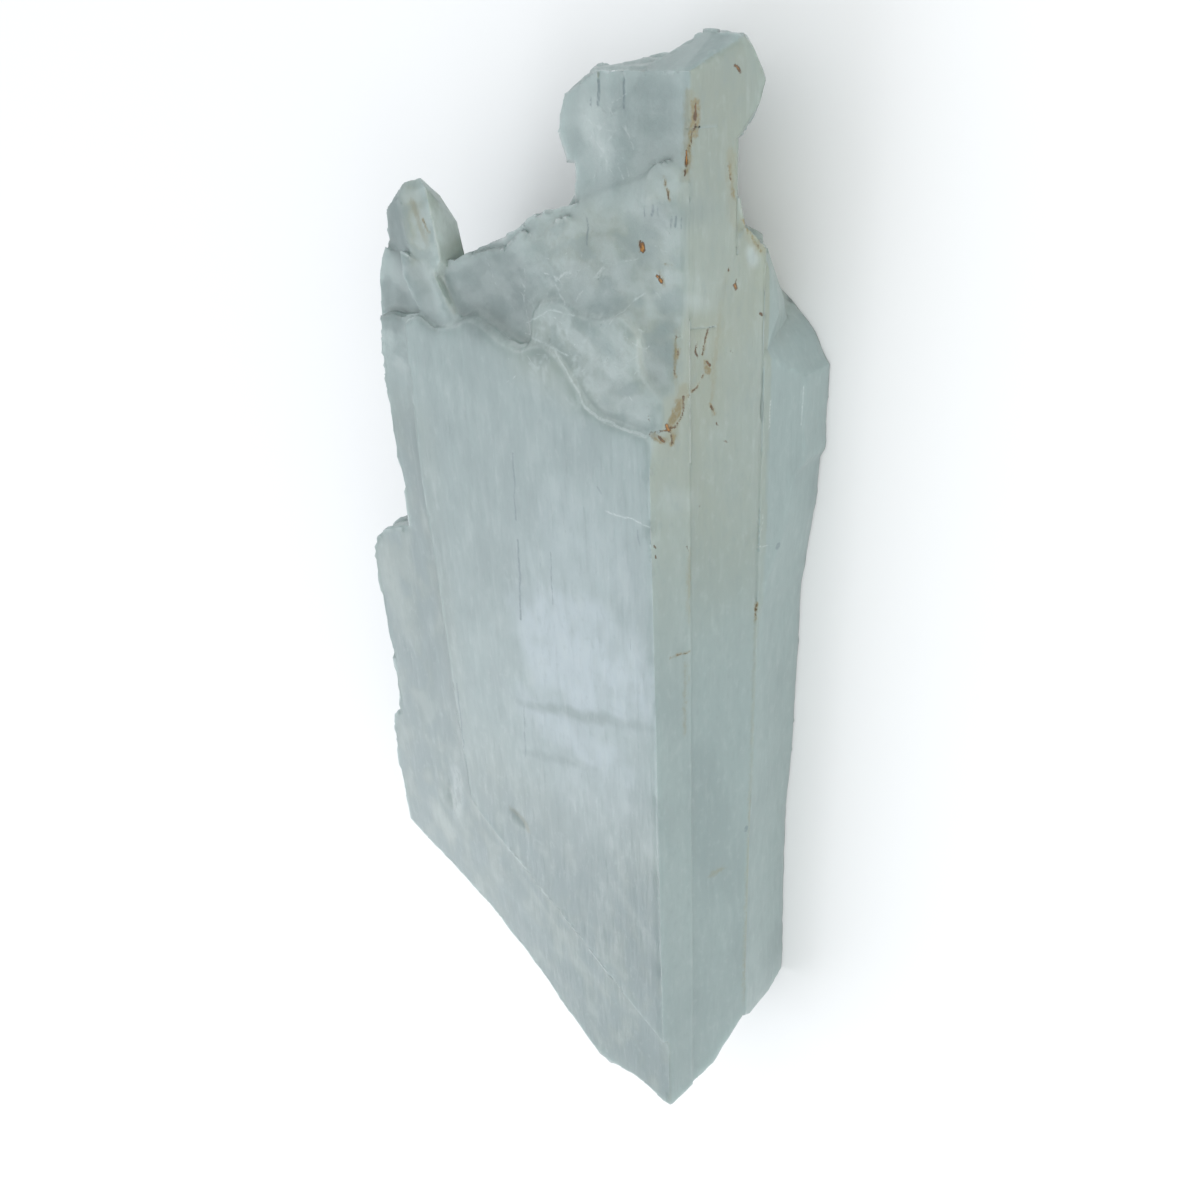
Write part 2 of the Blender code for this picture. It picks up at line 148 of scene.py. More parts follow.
def slice_faces(axis, places, wanted):
    """Cut the wanted faces with planes across one axis, one plane after the other."""
    across = Vector((0.0, 0.0, 0.0))
    across[axis] = 1.0
    waiting = [face for face in shape.faces if wanted(face)]
    waiting.sort(key=lambda face: lowest(face, axis), reverse=True)
    active = []
    for place in places:
        while waiting and lowest(waiting[-1], axis) < place - NEAR:
            active.append(waiting.pop())
        active = [face for face in active if highest(face, axis) > place + NEAR]
        cut = set(active)
        for face in active:
            cut.update(face.edges)
            cut.update(face.verts)
        if active:
            made = bmesh.ops.bisect_plane(shape, geom=list(cut), dist=NEAR, plane_co=across * place,
                                          plane_no=across)
            active = [part for part in made["geom"] if isinstance(part, bmesh.types.BMFace)]


print("corners within", NEAR, "mm of a plane count as on it")

# %% Slice the faces into cells
DOWNWARD = -0.9
LEVEL = 0.8
BACK_LEVEL = 0.5


def off_the_back(face):
    """True for every face but the flat back, which stays whole."""
    return face.normal.z > DOWNWARD or face.calc_center_bounds().z > BACK_LEVEL


def steep(face):
    """True for walls and slopes."""
    return abs(face.normal.z) < LEVEL and off_the_back(face)


CELL = 1.7
WALL_CELL = 1.05
FIRST_CUT = 0.9
BROKEN_END = 62.0
TOP_REACH = 149.0
slice_faces(1, np.arange(-TIP_REACH + FIRST_CUT, BROKEN_END, CELL), off_the_back)
slice_faces(1, np.arange(BROKEN_END, TOP_REACH, CELL / 2), off_the_back)
slice_faces(0, np.arange(-LEFT_REACH, RIGHT_REACH, CELL), off_the_back)
slice_faces(2, np.arange(FIRST_CUT, THICKNESS, WALL_CELL), steep)
print("cells", len(shape.faces), "after", round(time.time() - started), "s")

# %% [markdown]
# ## Finer cells at the broken end
#
# The top is where the crystal snapped: ledges, veils and rust stains are small there. Only the
# faces of that end are cut again, so the rest stays light.

# %% Finer cells at the broken end
FRONT_HALF = 18.0
BETWEEN_CUTS = 0.52


def broken_end(face):
    """True near the ledges, the tower and the nub, in the front half of the thickness."""
    middle = face.calc_center_bounds()
    return middle.y > BROKEN_END and middle.z > FRONT_HALF and off_the_back(face)


def broken_slope(face):
    """True for the slopes of the broken end."""
    return broken_end(face) and abs(face.normal.z) < LEVEL


slice_faces(0, np.arange(-LEFT_REACH + CELL / 2, RIGHT_REACH, CELL), broken_end)
slice_faces(2, np.arange(FIRST_CUT + BETWEEN_CUTS, THICKNESS, WALL_CELL), broken_slope)
print("cells", len(shape.faces), "after", round(time.time() - started), "s")

# %% Read the mesh as arrays
def read_points():
    """The place and the outward direction of every point, as arrays."""
    shape.normal_update()
    shape.verts.ensure_lookup_table()
    shape.verts.index_update()
    places = np.array([corner.co[:] for corner in shape.verts])
    return places, np.array([corner.normal[:] for corner in shape.verts])


place, facing = read_points()
x, y, z = place.T
print("points", len(place))

# %% [markdown]
# ## Helpers for soft forms
#
# Two helpers cover most zones: a smooth ramp, and a soft ellipse on the broad face. Blender's own
# noise bends their outlines, because nothing in a broken crystal has a clean round edge.

# %% Soft forms
FADE = 0.9
FINER = 2.1


def ramp(value, start, end):
    """0 up to start, 1 from end on, and smooth between; start may lie above end."""
    share = np.clip((value - start) / (end - start), 0.0, 1.0)
    return share * share * (3.0 - 2.0 * share)


def cloud(points, size, octaves, seed):
    """Blender's noise at every point, about -1 to 1; size is the grain along x, y and z, in mm."""
    spots = points / np.array(size, float) + seed
    return np.array([noise.fractal(Vector(spot), FADE, FINER, octaves) for spot in spots])


def bends():
    """Two slow noises that push outlines about."""
    return cloud(place, (9, 14, 9), 3, 3.0), cloud(place, (9, 14, 9), 3, 11.0)


def patch(centre, radii, turn=0.0, soft=0.5, bend=0.0):
    """A soft ellipse on the broad face, 1 inside; turn is in degrees, bend in mm."""
    angle = math.radians(turn)
    dx = x - centre[0] + bend * bent_x
    dy = y - centre[1] + bend * bent_y
    along = (dx * math.cos(angle) + dy * math.sin(angle)) / radii[0]
    across = (dy * math.cos(angle) - dx * math.sin(angle)) / radii[1]
    return ramp(np.hypot(along, across), 1.0 + soft, 1.0 - soft)


bent_x, bent_y = bends()
print("noise runs from", round(float(bent_x.min()), 2), "to", round(float(bent_x.max()), 2))

# %% [markdown]
# ## Melt the ledges
#
# The solid has the broken top as clean steps. On the real crystal thin sheets snapped one after
# another, and the steps run into each other. Moving each point towards the middle of its
# neighbours, many times over, turns a step into a short slope. The rim stays as it is, so the
# outline stays too.

# %% How soft each point is
RIM_CELL = 0.9
SOFT_ENOUGH = 0.05

on_rim = (np.abs(facing[:, 2]) < 0.5) & (z > 32.0) & (z < 35.4) & (facing[:, 0] < 0.6)
square = np.floor(place[:, :2] / RIM_CELL).astype(int)
around = [(di, dj) for di in (-1, 0, 1) for dj in (-1, 0, 1)]
rim_squares = {(i + di, j + dj) for i, j in square[on_rim] for di, dj in around}
inside = np.array([(i, j) not in rim_squares for i, j in square])
broken_top = ramp(y, 61.0, 69.0) * ramp(y, 131.0, 123.0) * ramp(z, 27.0, 32.0)
broken_top *= 1.0 - 0.8 * ramp(x, -58.0, -63.0)
broken_top *= 1.0 - ramp(x, -60.0, -62.0) * ramp(y, 99.0, 102.0)
broken_top *= 1.0 - 0.5 * patch((-9.0, 70.5), (12.0, 3.2), -6, 0.4)
shoulder = ramp(x, 9.0, 12.0) * ramp(y, 80.0, 86.0) * ramp(y, 112.0, 106.0) * ramp(z, 6.0, 10.0)
tower_face = ramp(y, 116.0, 124.0) * (z > 25.0)
margin = (x < -60.0) * ramp(y, 75.0, 68.0) * (facing[:, 2] > 0.3)
hollows = np.maximum(patch((-84.0, -70.0), (8.0, 16.0), -15, 0.5),
                     0.35 * patch((-53.5, -65.0), (7.0, 7.0), 0, 0.5))
softness = np.max([0.8 * broken_top, 0.6 * shoulder, 0.14 * tower_face, 0.12 * margin,
                   0.3 * hollows * (z > 40.0)], axis=0)
softness *= inside * (facing[:, 2] > -0.1)
print("soft points", int((softness > SOFT_ENOUGH).sum()))

# %% Melt the ledges
MELTS = 34
CLOSED = 0.22

ends = np.array([[corner.index for corner in edge.verts] for edge in shape.edges])
ties = np.bincount(ends.ravel(), minlength=len(place))


def middle_of_neighbours(points):
    """For every point, the mean of the points it shares an edge with."""
    mean = np.empty_like(points)
    pulled = np.concatenate([ends[:, 0], ends[:, 1]])
    for axis in range(3):
        pull = np.concatenate([points[ends[:, 1], axis], points[ends[:, 0], axis]])
        mean[:, axis] = np.bincount(pulled, pull, len(points)) / ties
    return mean


melted = place.copy()
for _ in range(MELTS):
    melted += softness[:, None] * (middle_of_neighbours(melted) - melted)
shift = np.linalg.norm(melted - place, axis=1)
print("points that moved over 0.3 mm", int((shift > 0.3).sum()))

soft_corners = []
for corner, spot, share in zip(shape.verts, melted, softness):
    corner.co = spot
    if share > SOFT_ENOUGH:
        soft_corners.append(corner)
bmesh.ops.remove_doubles(shape, verts=soft_corners, dist=CLOSED)
bmesh.ops.dissolve_degenerate(shape, edges=shape.edges, dist=NEAR)
print("cells", len(shape.faces), "after", round(time.time() - started), "s")

# %% [markdown]
# ## Where the stains and cracks are
#
# Each one is a stroke along a few places, seen from above. The strokes are dropped onto the
# crystal, and the mesh keeps every point's distance to their edges instead of a colour, because
# distance stays true between points and the finish can cut a crisp edge from it. A half width
# below zero makes a stroke fainter than a line.

# %% Rust: iron stains in the cracks
RUST_STROKES = [
    # (half width, places in x and y)
    (0.22, [(6.2, 135.2), (6.0, 132.6)]), (0.14, [(6.1, 131.8), (5.8, 129.6), (5.4, 127.8)]),
    (0.3, [(4.7, 127.0), (4.5, 124.4)]), (0.14, [(4.4, 123.6), (4.5, 122.6)]),
    (0.22, [(10.6, 141.3), (11.3, 140.2)]), (0.1, [(10.0, 123.8), (10.4, 121.0)]),
    (0.1, [(12.2, 112.6), (13.1, 109.3)]), (0.12, [(13.7, 108.0), (14.2, 106.3)]),
    (0.62, [(-5.2, 108.9), (-5.0, 107.6)]), (0.1, [(-5.7, 111.4), (-5.5, 109.8)]),
    (0.5, [(-1.4, 102.7), (-0.5, 101.7)]), (0.05, [(0.9, 122.0), (1.6, 120.0), (2.2, 118.3)]),
    (0.28, [(3.4, 91.2), (3.6, 90.7)]), (0.1, [(3.8, 90.9), (4.8, 90.5)]),
    (0.12, [(3.8, 88.2), (3.8, 87.0)]), (0.16, [(3.3, 83.7), (3.4, 82.6)]),
    (0.16, [(7.7, 91.8), (7.1, 88.3), (6.9, 86.0)]),
    (0.12, [(6.5, 89.8), (6.1, 87.0), (6.3, 85.4)]),
    (0.22, [(7.6, 84.6), (8.1, 83.4)]), (0.15, [(7.0, 81.8), (6.2, 79.0), (5.3, 77.2)]),
    (0.2, [(4.7, 77.8), (4.7, 74.2), (3.7, 71.0)]), (0.42, [(2.4, 71.6), (2.7, 70.4)]),
    (0.22, [(0.1, 70.2), (1.8, 70.5), (3.6, 70.9)]), (0.24, [(2.9, 69.6), (3.1, 66.9)]),
    (0.24, [(1.2, 69.4), (2.0, 68.0)]), (0.16, [(-0.5, 70.4), (-0.9, 69.2)]),
    (0.1, [(-1.6, 73.4), (-1.2, 72.6)]), (0.2, [(8.0, 74.5), (8.4, 73.3)]),
    (0.16, [(8.8, 70.4), (9.1, 69.6)]), (0.14, [(10.0, 65.8), (10.3, 65.1)]),
    (0.16, [(10.5, 86.5), (10.9, 85.7)]), (0.12, [(10.1, 103.8), (10.2, 103.0)]),
    (0.28, [(11.1, 100.4), (11.2, 99.4)]), (0.1, [(11.3, 101.6), (11.2, 100.6)]),
    (0.2, [(14.5, 93.6), (14.7, 93.0)]),
    (0.25, [(0.3, 42.7), (0.5, 42.1)]), (0.18, [(0.5, 40.2), (0.6, 39.8)]),
    (0.2, [(5.0, 41.4), (5.2, 40.2)]), (0.12, [(6.6, 51.2), (6.6, 50.6)]),
    (0.02, [(2.7, 11.4), (3.9, 12.1), (5.4, 12.5)]), (0.1, [(15.1, 22.1), (15.1, 18.6)]),
    (0.14, [(-66.4, 108.8), (-64.8, 106.8)]), (0.1, [(-74.8, 104.2), (-73.2, 103.4)]),
]
print("rust strokes", len(RUST_STROKES))

# %% Ochre films: thin iron skins beside the rust
OCHRE_STROKES = [
    (0.8, [(6.2, 135.4), (6.0, 130.0)]), (0.3, [(5.6, 130.0), (4.7, 123.0)]),
    (0.8, [(4.2, 76.4), (3.6, 73.7), (2.8, 70.8)]),
    (0.2, [(3.6, 90.5), (3.4, 82.0)]), (0.5, [(3.7, 88.2), (3.6, 86.2)]),
    (0.7, [(7.5, 84.2), (7.7, 82.4)]), (0.7, [(0.2, 69.6), (2.0, 68.2)]),
    (0.5, [(3.3, 69.2), (3.0, 66.8)]), (0.15, [(7.6, 91.0), (7.0, 86.0)]),
    (0.2, [(10.2, 123.8), (10.9, 117.0)]), (0.25, [(12.0, 113.0), (14.2, 106.3)]),
    (0.15, [(2.4, 104.8), (-0.1, 105.7)]), (0.3, [(7.9, 75.0), (8.6, 72.6)]),
    (0.15, [(0.8, 122.4), (2.4, 118.0)]), (0.25, [(2.6, 11.6), (4.0, 12.2), (5.4, 12.6)]),
    (0.2, [(15.1, 22.4), (15.1, 17.0)]),
    (0.35, [(-66.8, 109.2), (-64.8, 106.4)]), (0.3, [(-0.9, 103.8), (0.2, 101.2)]),
    (0.15, [(7.0, 81.6), (6.2, 79.0), (4.9, 77.2)]), (0.3, [(-5.6, 109.4), (-5.4, 107.4)]),
]
print("ochre strokes", len(OCHRE_STROKES))

# %% Olive films: fainter, along the seams
FILM_STROKES = [
    (0.35, [(5.5, 40.3), (5.1, 20.0)]), (0.3, [(4.9, 10.0), (4.5, -12.7)]),
    (0.35, [(15.1, 22.0), (15.1, -20.0), (14.9, -70.0), (14.8, -121.0)]),
    (0.3, [(10.2, 103.4), (9.0, 92.2), (8.2, 75.8)]), (0.8, [(8.7, -63.6), (10.4, -61.9)]),
    (1.0, [(-56.4, -63.4), (-52.2, -64.9), (-49.6, -68.4)]), (0.9, [(5.2, 137.0), (4.8, 122.0)]),
    (1.3, [(4.8, 79.0), (3.0, 69.0)]), (0.4, [(3.5, 92.0), (3.4, 81.0)]),
    (1.0, [(10.4, 126.0), (10.8, 113.0), (14.4, 106.5)]), (0.8, [(-70.0, 113.0), (-66.0, 104.0)]),
]
print("olive strokes", len(FILM_STROKES))

# %% Hairlines: thin planes of parting inside, seen edge-on
HAIRLINES = [
    (0.12, [(-41.9, 56.6), (-42.9, 38.2)]), (0.2, [(-42.9, 32.5), (-43.3, 22.2), (-44.5, 8.1)]),
    (0.08, [(-31.6, 32.0), (-32.6, 16.9)]), (0.10, [(-46.5, -20.9), (-47.7, -39.5)]),
    (0.15, [(-15.4, 54.0), (-14.3, 52.5)]), (0.08, [(-4.0, 46.0), (-3.3, 42.3)]),
    (-0.08, [(-35.3, 30.0), (-36.3, 22.5)]),
    (-0.06, [(-27.0, 43.5), (-26.2, 39.0)]), (-0.06, [(-19.9, 47.8), (-19.8, 45.0)]),
    (-0.04, [(-7.0, 15.6), (-7.2, 12.0)]), (-0.04, [(-27.0, -22.5), (-27.3, -26.5)]),
    (-0.02, [(-41.3, -14.5), (-41.4, -17.0)]),
    (0.15, [(-19.0, 135.9), (-18.9, 133.3)]), (0.2, [(-16.9, 139.2), (-17.0, 134.6)]),
    (0.25, [(-10.2, 139.5), (-10.6, 134.3)]), (0.05, [(-4.2, 116.4), (-4.3, 113.9)]),
    (0.12, [(-1.9, 117.0), (-2.4, 114.5)]), (0.08, [(-0.7, 116.6), (-1.0, 115.0)]),
    (0.05, [(2.5, 114.7), (2.0, 112.2)]), (0.08, [(3.5, 115.0), (3.2, 113.0)]),
    (0.05, [(4.6, 114.6), (4.3, 112.8)]), (0.03, [(-19.4, 113.0), (-18.8, 107.7)]),
    (0.12, [(-74.0, -24.0), (-75.1, -69.9)]), (0.6, [(17.5, 37.2), (17.3, 36.0)]),
    (0.4, [(14.4, -49.1), (14.3, -50.2)]),
]
print("hairlines", len(HAIRLINES))

# %% Bright cracks: air in a parting mirrors the light
CRACKS = [
    (0.22, [(-18.2, 72.8), (-14.7, 70.9), (-8.2, 69.9), (-1.5, 69.1)]),
    (0.12, [(-27.7, 85.0), (-23.2, 79.9), (-20.4, 75.7), (-18.2, 72.8)]),
    (0.10, [(-38.4, 85.8), (-33.1, 85.8), (-27.1, 84.7), (-23.4, 83.4)]),
    (0.10, [(-49.2, 102.2), (-48.0, 99.2), (-46.8, 95.7)]),
    (0.08, [(-31.7, 100.3), (-27.9, 99.7), (-22.0, 101.8), (-18.2, 103.3)]),
    (0.08, [(-28.6, 98.9), (-26.7, 96.5), (-24.8, 94.4)]),
    (0.10, [(-38.1, 88.2), (-28.5, 92.8), (-21.8, 92.6)]),
    (0.06, [(-7.7, 96.1), (-5.8, 97.8), (-3.9, 99.1)]),
    (0.10, [(-13.3, 48.6), (-11.3, 48.1), (-5.1, 48.5), (-0.3, 47.3)]),
    (0.10, [(-37.0, 102.2), (-38.2, 93.5), (-36.5, 86.0)]),
    (0.06, [(16.1, 73.7), (15.9, 66.8)]), (0.02, [(15.6, 47.2), (15.5, 40.0)]),
    (0.08, [(19.4, 75.0), (19.3, 65.0)]), (0.04, [(14.9, 38.3), (17.4, 36.4)]),
    (0.04, [(-20.5, 132.3), (-16.8, 130.3), (-19.8, 128.1), (-21.4, 127.6)]),
    (0.05, [(-16.8, 130.3), (-12.6, 129.5), (-16.0, 127.3)]),
    (0.04, [(-19.9, 134.0), (-20.5, 132.3)]), (0.02, [(-14.5, 126.2), (-19.0, 123.5)]),
    (0.02, [(-40.0, 95.5), (-34.5, 92.0), (-30.0, 91.0)]),
    (0.02, [(-12.0, 92.0), (-8.5, 95.5), (-7.7, 96.1)]),
    (0.02, [(-20.0, 80.5), (-13.0, 84.5), (-9.5, 83.0)]),
]
print("cracks", len(CRACKS))

# %% [markdown]
# ## Feathers
#
# Between the larger cracks lie many short, faint partings, which look like feathers. They lean two
# ways, as gypsum's lesser cleavages do. They are too many to place one by one, so a seeded random
# draw strews them, and every run gives the same ones.

# %% Strew the feathers
FEATHERS = [
    # (how many, x range, y range)
    (46, (-42.0, 0.0), (75.0, 110.0)),
    (14, (-22.0, -9.0), (122.0, 137.0)),
]
LEANS = (-42.0, 38.0)
LEAN_SPREAD = 14.0
chance = random.Random(11)


def feather(lean, x_range, y_range):
    """One short bent stroke at a random place: (half width, places)."""
    heading = math.radians(chance.gauss(lean, LEAN_SPREAD))
    half, bend = chance.uniform(1.0, 3.6), chance.uniform(-0.5, 0.5)
    middle_x, middle_y = chance.uniform(*x_range), chance.uniform(*y_range)
    run_x, run_y = half * math.cos(heading), half * math.sin(heading)
    return chance.uniform(-0.06, 0.05), [
        (middle_x - run_x, middle_y - run_y),
        (middle_x - bend * math.sin(heading), middle_y + bend * math.cos(heading)),
        (middle_x + run_x, middle_y + run_y),
    ]


for count, x_range, y_range in FEATHERS:
    CRACKS += [feather(LEANS[number % 2], x_range, y_range) for number in range(count)]
print("cracks with feathers", len(CRACKS))

# %% Drop the strokes onto the crystal
DROP_FROM = 80.0
DROP_STEP = 0.8

surface = BVHTree.FromBMesh(shape)


def dropped(strokes):
    """The strokes as short runs on the surface: (half width, start, end)."""
    down = Vector((0, 0, -1))
    runs = []
    for half_width, places in strokes:
        for start, end in zip(places[:-1], places[1:]):
            count = max(2, int(math.dist(start, end) / DROP_STEP) + 2)
            line = [(start[0] + (end[0] - start[0]) * share, start[1] + (end[1] - start[1]) * share)
                    for share in np.linspace(0.0, 1.0, count)]
            hits = [surface.ray_cast(Vector(spot + (DROP_FROM,)), down)[0] for spot in line]
            hits = [np.array(hit) for hit in hits if hit is not None]
            runs += [(half_width, one, other) for one, other in zip(hits[:-1], hits[1:])]
    return runs


rust, ochre, films, hairs, cracks = (dropped(strokes) for strokes in (
    RUST_STROKES, OCHRE_STROKES, FILM_STROKES, HAIRLINES, CRACKS))
print("runs of rust", len(rust), "of films", len(ochre) + len(films),
      "of cracks", len(hairs) + len(cracks))

# %% Finer cells along the strokes
STROKE_CELLS = (0.8, 0.42)
STROKE_REACH = 0.9
HALF_FACE = 0.6
TOO_LONG = 1.25

fine_points = np.array([spot for run in rust + hairs + cracks for spot in run[1:]])


def near_strokes(face):
    """True for a face close to a rust stroke, a hairline or a crack."""
    middle = np.array(face.calc_center_bounds())
    reach = STROKE_REACH + max(edge.calc_length() for edge in face.edges) * HALF_FACE
    close = fine_points[np.abs(fine_points[:, 1] - middle[1]) < reach]
    return len(close) > 0 and np.linalg.norm(close - middle, axis=1).min() < reach


bmesh.ops.triangulate(shape, faces=[face for face in shape.faces if near_strokes(face)])
for cell in STROKE_CELLS:
    chosen = [face for face in shape.faces if len(face.verts) == 3 and near_strokes(face)]
    edges = {edge for face in chosen for edge in face.edges if edge.calc_length() > cell * TOO_LONG}
    bmesh.ops.subdivide_edges(shape, edges=list(edges), cuts=1, use_grid_fill=True)
    bmesh.ops.triangulate(shape, faces=[face for face in shape.faces if len(face.verts) > 4])
print("cells", len(shape.faces), "after", round(time.time() - started), "s")

# %% Read the finished cells again
place, facing = read_points()
x, y, z = place.T
bent_x, bent_y = bends()
print("points", len(place))

# %% How far each point is from a stroke
WOBBLE = 0.3
WOBBLE_SEEDS = (31.0, 37.0, 41.0)
FAR = 4.0

wobble = np.stack([cloud(place, (2.4, 3.4, 2.4), 2, seed) for seed in WOBBLE_SEEDS], axis=1)
wobble = WOBBLE * wobble


def distance_to(runs):
    """Every point's distance, in millimetres, to the edge of the nearest run, up to FAR."""
    nearest = np.full(len(place), FAR)
    for half_width, start, end in runs:
        near = np.abs(y - (start[1] + end[1]) / 2) < FAR + abs(end[1] - start[1])
        spots = place[near] + wobble[near]
        run = end - start
        share = np.clip((spots - start) @ run / max(run @ run, 1e-9), 0.0, 1.0)
        gap = np.linalg.norm(spots - start - share[:, None] * run, axis=1) - half_width
        nearest[near] = np.minimum(nearest[near], gap)
    return nearest


print("lines wobble by up to", round(float(np.abs(wobble).max()), 2), "mm")

# %% [markdown]
# ## Relief
#
# Cleavage faces are flat but never perfect: they wave a little and carry fine lines along the
# crystal. Broken walls are different: they are the ends of many thin sheets, so they step in and
# out layer by layer. Edges are slightly worn. Each kind of relief is added along the surface's own
# direction.

# %% What kind of surface each point is on
front = ramp(facing[:, 2], 0.75, 0.95)
wall = ramp(np.abs(facing[:, 2]), 0.5, 0.25)
prism_side = ramp(facing[:, 0], 0.5, 0.75)
broken_wall = wall * (1.0 - prism_side)
ledges = front * ramp(y, 66.0, 72.0) * ramp(z, 43.7, 43.3)
tower = ramp(y, 110.0, 120.0) * ramp(x, -36.0, -30.0)
rough_break = np.clip(0.4 * ledges + broken_wall, 0.0, 1.0)
print("points on broken walls", int((broken_wall > 0.5).sum()),
      "on ledges", int((ledges > 0.5).sum()))

# %% Waves, growth lines and hackles
WAVE = 0.16
GROWTH_LINE = 0.07
HACKLE = 0.35
SHEET_STEP = 0.6
SHEET_SIZE = np.array((11.0, 7.0, 1.6))

waves = WAVE * cloud(place, (34, 70, 34), 2, 5.0)
growth_lines = GROWTH_LINE * cloud(place, (4.5, 120, 4.5), 3, 7.0)
hackles = HACKLE * cloud(place, (5, 7, 5), 4, 13.0)
sheets = np.array([noise.cell(Vector(spot)) for spot in place / SHEET_SIZE])
torn_off = 0.4 * ledges + broken_wall + 0.3 * tower * (1.0 - prism_side)
relief = waves * (front + prism_side) + growth_lines
relief += hackles * np.clip(torn_off, 0.0, 1.0)
relief -= SHEET_STEP * sheets * broken_wall
print("relief from", round(float(relief.min()), 2), "to", round(float(relief.max()), 2), "mm")

# %% Growth steps across the lower corner
GROWTH_STEPS = [
    # (start, end, height, fade)
    ((-74.7, -70.1), (-31.5, -102.4), 0.30, 9.0),
    ((-21.7, -63.9), (-0.7, -86.9), 0.16, 7.0),
    ((-60.0, -88.0), (-24.0, -122.0), 0.14, 6.0),
]
crest = np.zeros(len(place))
for start, end, height, fade in GROWTH_STEPS:
    run = np.array(end) - np.array(start)
    length = np.linalg.norm(run)
    run = run / length
    dx, dy = x - start[0], y - start[1]
    along = dx * run[0] + dy * run[1]
    beside = dy * run[0] - dx * run[1]
    span = ramp(along, -9.0, 14.0) * ramp(along, length + 9.0, length - 9.0)
    rise = front * span * height
    crest = np.maximum(crest, rise * ramp(beside, -5.0, -1.2) * ramp(beside, 0.4, -0.8))
    relief += rise * ramp(beside, -0.6, 0.6) * np.exp(-np.clip(beside, 0.0, None) / fade)
print("growth steps", len(GROWTH_STEPS))

# %% Chips and wear along the edges
ARRIS_CHIPS = [
    # (y, radius, depth)
    (47.0, 2.4, 0.5), (12.0, 1.4, 0.3), (-33.0, 1.8, 0.35), (-61.0, 1.5, 0.3),
    (-97.0, 2.6, 0.5), (-132.0, 2.2, 0.5), (61.0, 1.8, 0.4),
]
CHIP_STRETCH = 1.8
WEAR = 0.16
SHARP = math.radians(28)

for chip_y, radius, depth in ARRIS_CHIPS:
    from_chip = np.sqrt(x ** 2 + ((y - chip_y) / CHIP_STRETCH) ** 2 + (z - THICKNESS) ** 2)
    relief -= depth * ramp(from_chip, radius, 0.2)

worn = np.zeros(len(place))
for edge in shape.edges:
    if len(edge.link_faces) == 2 and edge.is_convex and edge.calc_face_angle() > SHARP:
        for corner in edge.verts:
            worn[corner.index] = 1.0
relief -= WEAR * worn * (1.0 + cloud(place, (3, 5, 3), 2, 17.0))
print("points on worn edges", int(worn.sum()))

# %% [markdown]
# ## Zones of the finish
#
# Most of the slab is milky: countless tiny partings scatter the light. At the broken end there are
# clear windows, so one looks deeper in, and between them white veils where the layers have parted.
# A painted sheen, paler and lavender, lies over the middle of the broad face.

# %% Clear windows
HALFWAY = 20.0   # zones stay above these heights, so that they keep off the sides below
HIGH = 30.0
HIGHEST = 40.0

windows = [
    patch((-48.0, 94.5), (13.5, 9.5), 12, 0.3, 2.2) * ramp(y, 78.0, 84.0),
    0.9 * patch((-83.5, 87.5), (6.0, 6.5), 0, 0.3, 1.6),
    0.4 * patch((-17.0, 101.0), (12.0, 7.5), 8, 0.5, 2.0),
    0.5 * patch((-30.5, 83.5), (3.6, 2.6), 20, 0.5, 1.2),
    0.5 * patch((0.2, 86.0), (3.6, 6.5), 0, 0.5, 1.4),
    0.45 * patch((1.0, 115.2), (6.5, 3.0), 0, 0.5, 1.6),
    0.55 * patch((-5.0, 132.0), (8.5, 9.5), 0, 0.5, 1.6),
    0.5 * patch((-83.0, 106.5), (4.0, 6.5), 0, 0.35, 1.0),
    0.3 * patch((-10.0, 79.0), (9.0, 2.6), -20, 0.6, 1.6),
]
clear = np.max(windows, axis=0) * (z > HIGH)
bright_strip = patch((-69.5, 90.5), (4.2, 9.0), 24, 0.35, 1.0)
clear = clear * (1.0 - 0.85 * bright_strip * (x < -62.0))
print("share of points in clear windows", round(float((clear > 0.5).mean()), 3))

# %% Painted sheen, and pale flakes with painted highlights
painted_sheen = np.max([
    0.85 * patch((-24.5, 2.5), (23.0, 19.0), -16, 0.4, 7.0),
    0.70 * patch((-27.0, -24.0), (20.0, 8.0), -16, 0.6, 6.0),
    0.35 * patch((-25.0, -44.0), (20.0, 22.0), -16, 0.8, 8.0),
    0.30 * patch((-21.0, 32.0), (18.0, 16.0), -16, 0.8, 6.0),
    0.25 * patch((-26.0, -76.0), (18.0, 14.0), -20, 0.8, 6.0),
], axis=0) * front
pale = np.max([
    0.45 * patch((-97.5, -1.0), (5.0, 15.0), 12, 0.6, 3.0),
    0.5 * patch((-92.0, -88.0), (3.5, 8.0), 20, 0.6, 2.0),
    # Painted highlight along the crest of each growth step.
    1.3 * crest,
    0.14 * prism_side * ramp(x, 6.0, 4.6),
    0.6 * patch((-17.0, 129.5), (4.5, 5.0), 0, 0.5, 1.5),
    0.55 * patch((1.5, 121.8), (3.6, 2.8), 0, 0.5, 1.0),
    0.22 * patch((4.5, 100.5), (3.6, 3.6), 0, 0.6, 1.5),
    0.65 * patch((0.5, 97.8), (6.5, 2.8), 0, 0.6, 2.5),
    0.75 * patch((13.2, 105.6), (0.9, 2.2), 12, 0.5, 0.9),
    0.35 * patch((3.6, 53.0), (2.6, 4.0), 0, 0.6, 1.0),
    # Painted light on the nub's right-hand facet.
    0.45 * patch((-65.5, 103.5), (3.4, 9.0), -12, 0.5, 0.8),
], axis=0) * (z > HALFWAY)
print("pearly points", int((painted_sheen > 0.3).sum()), "pale points", int((pale > 0.3).sum()))

